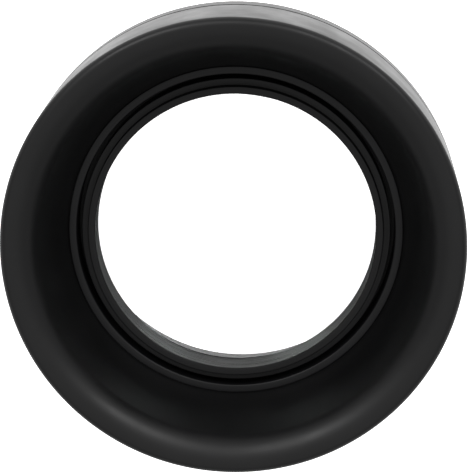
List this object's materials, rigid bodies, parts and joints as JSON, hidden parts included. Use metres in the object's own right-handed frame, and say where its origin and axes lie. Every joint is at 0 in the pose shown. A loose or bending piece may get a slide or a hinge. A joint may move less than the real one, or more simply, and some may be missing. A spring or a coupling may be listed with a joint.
{
  "type": "telescope eyepiece",
  "caption": "Compact telescope eyepiece with a deep bowl eyecup that twists up, weak cemented doublets, a tapered body and a chromed push-fit barrel.",
  "frame": {"origin": "on the optical axis, at the centre of the barrel's open end, which is the lowest plane", "axes": "+Z along the optical axis towards the eye; +X through the first guide screw at rest"},
  "size_m": [0.046, 0.046, 0.061],
  "materials": {
    "eyecup_rubber": "fine matte",
    "grip_rubber": "matte, moulded ribs",
    "seal_rubber": "smooth",
    "black_anodised": "satin black anodised",
    "black_inner": "matte black anodised, fine turned lines",
    "barrel_chrome": "polished, fine turning marks",
    "lens_glass": "polished, anti-reflection coated",
    "screw_steel": "blackened",
    "spring_steel": "bright",
    "washer_plastic": "waxy"
  },
  "bodies": {
    "body": {"lens_cell": "black_inner", "eye_gasket": "seal_rubber", "eye_flint": "lens_glass", "eye_crown": "lens_glass", "lens_spacer": "black_inner", "field_crown": "lens_glass", "field_flint": "lens_glass", "cell_retaining_ring": "black_inner", "twist_circlip": "spring_steel", "glide_washer": "washer_plastic", "click_springs": "spring_steel", "click_balls": "spring_steel", "body_shell": "black_anodised", "body_grip_band": "grip_rubber", "body_grub_screws": "screw_steel", "cell_o_ring": "seal_rubber", "barrel": "barrel_chrome", "field_stop_ring": "black_inner"},
    "twist_ring": {"twist_ring": "black_anodised", "twist_grip": "grip_rubber"},
    "eyecup": {"eyecup_rubber": "eyecup_rubber", "eyecup_sleeve": "black_anodised", "guide_screws": "screw_steel"}
  },
  "joints": [
    {"name": "twist_turn", "type": "hinge", "parent": "body", "child": "twist_ring", "pos_m": [0, 0, 0.04], "axis": [0, 0, 1], "range_deg": [0, 100]},
    {"name": "eyecup_rise", "type": "slide", "parent": "twist_ring", "child": "eyecup", "axis": [0, 0, 1], "range_m": [0, 0.007]}
  ],
  "couplings": [
    {"joint": "twist_turn", "follows": "eyecup_rise", "rad_per_m": 249.3}
  ]
}
